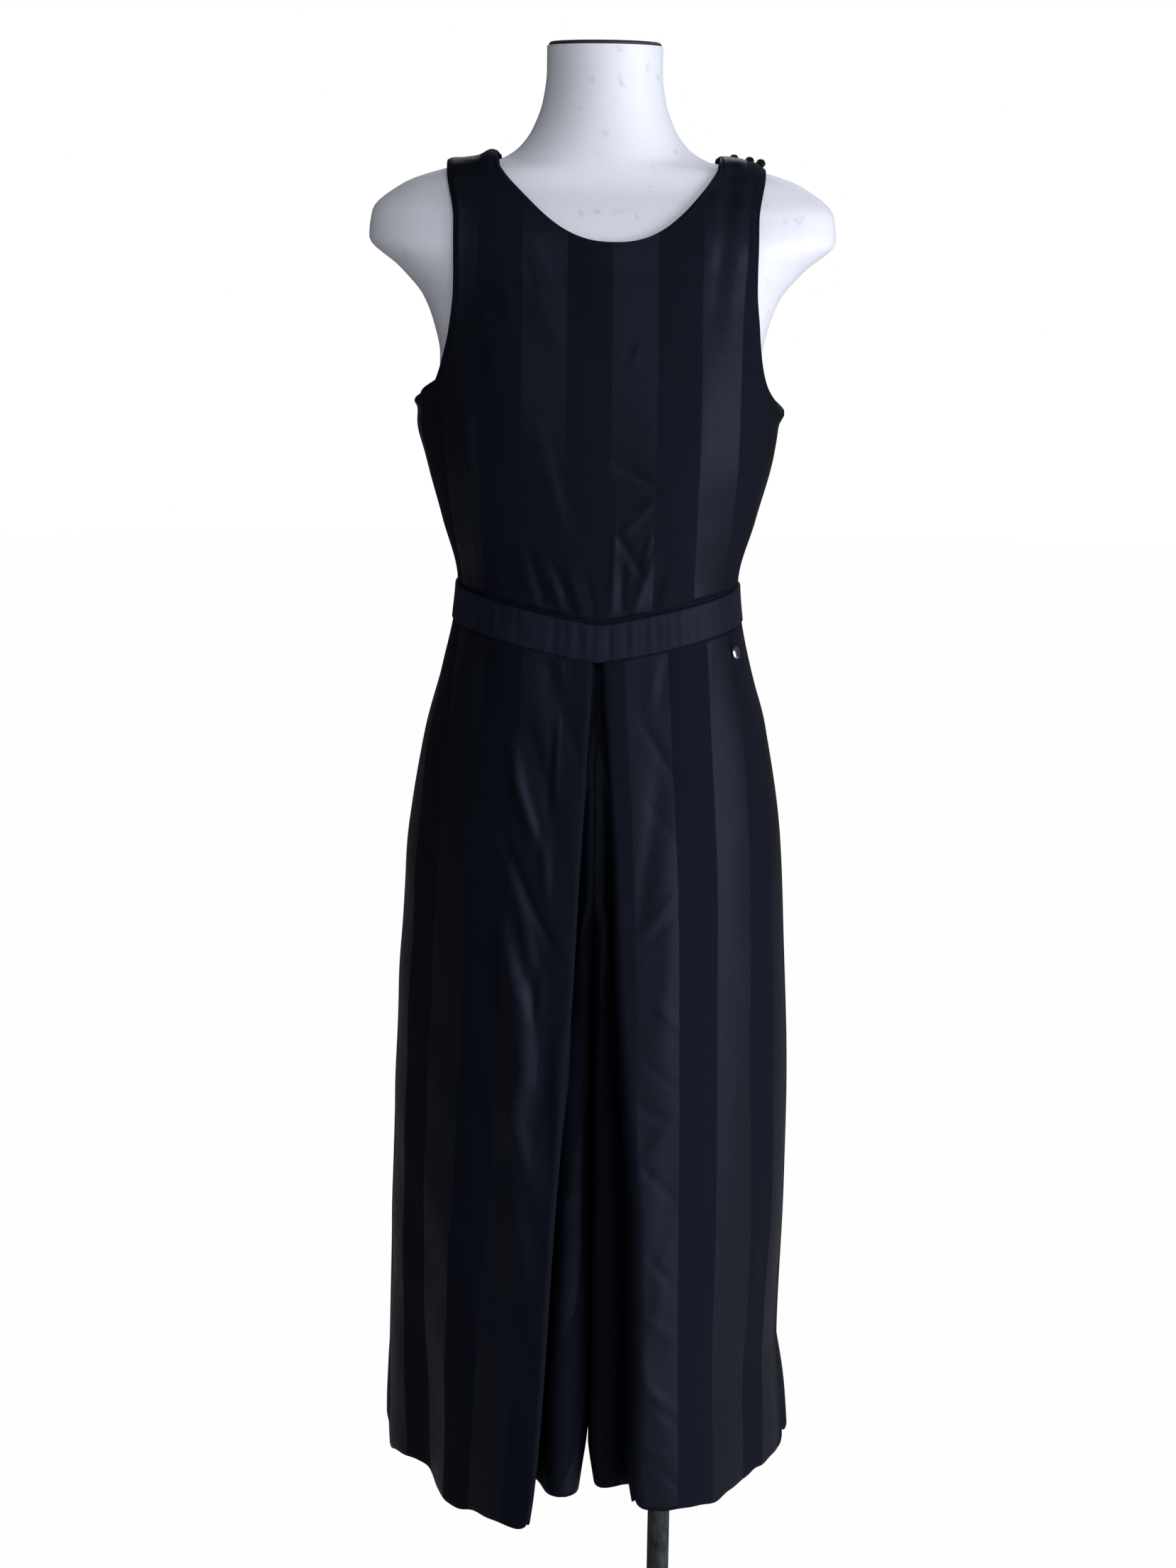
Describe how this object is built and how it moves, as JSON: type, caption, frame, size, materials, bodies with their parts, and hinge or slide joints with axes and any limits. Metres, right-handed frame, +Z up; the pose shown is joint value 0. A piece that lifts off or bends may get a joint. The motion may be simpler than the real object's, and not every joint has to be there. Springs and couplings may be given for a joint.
{
  "type": "jumpsuit on dress form",
  "caption": "Sleeveless round-neck jumpsuit with a pointed waistband and wide cropped pleated trousers, worn by a limbless dress form on a pole stand with a round base.",
  "frame": {"origin": "middle of the stand's underside, on the pole's axis", "axes": "+Z up, -Y towards the front of the garment, +X towards the wearer's left"},
  "size_m": [0.4587, 0.3614, 1.6203],
  "materials": {
    "bodice_cloth": "black twill with wide tonal satin stripes",
    "trouser_cloth": "black twill with wide tonal satin stripes",
    "waistband_cloth": "the same cloth, finely gathered",
    "piping_cloth": "matt black folded strip",
    "button_jet": "polished black",
    "stud_silver": "polished silver plate",
    "form_white": "satin white moulded shell, lightly scuffed",
    "neck_black": "matt black",
    "socket_steel": "dull grey steel",
    "pole_black_steel": "satin black, worn in streaks",
    "base_black_steel": "satin black powder coat"
  },
  "bodies": {
    "root": {"front_bodice": "bodice_cloth", "back_bodice": "bodice_cloth", "waist_piping_front": "piping_cloth", "waist_piping_back": "piping_cloth", "waistband_front": "waistband_cloth", "waistband_back": "waistband_cloth", "trouser_front_left": "trouser_cloth", "trouser_front_right": "trouser_cloth", "trouser_back_left": "trouser_cloth", "trouser_back_right": "trouser_cloth", "shoulder_button_1": "button_jet", "shoulder_button_2": "button_jet", "shoulder_button_3": "button_jet", "hip_stud": "stud_silver", "form_torso": "form_white", "form_neck_cap": "neck_black", "form_socket": "socket_steel", "stand_pole": "pole_black_steel", "stand_base": "base_black_steel"}
  },
  "joints": []
}
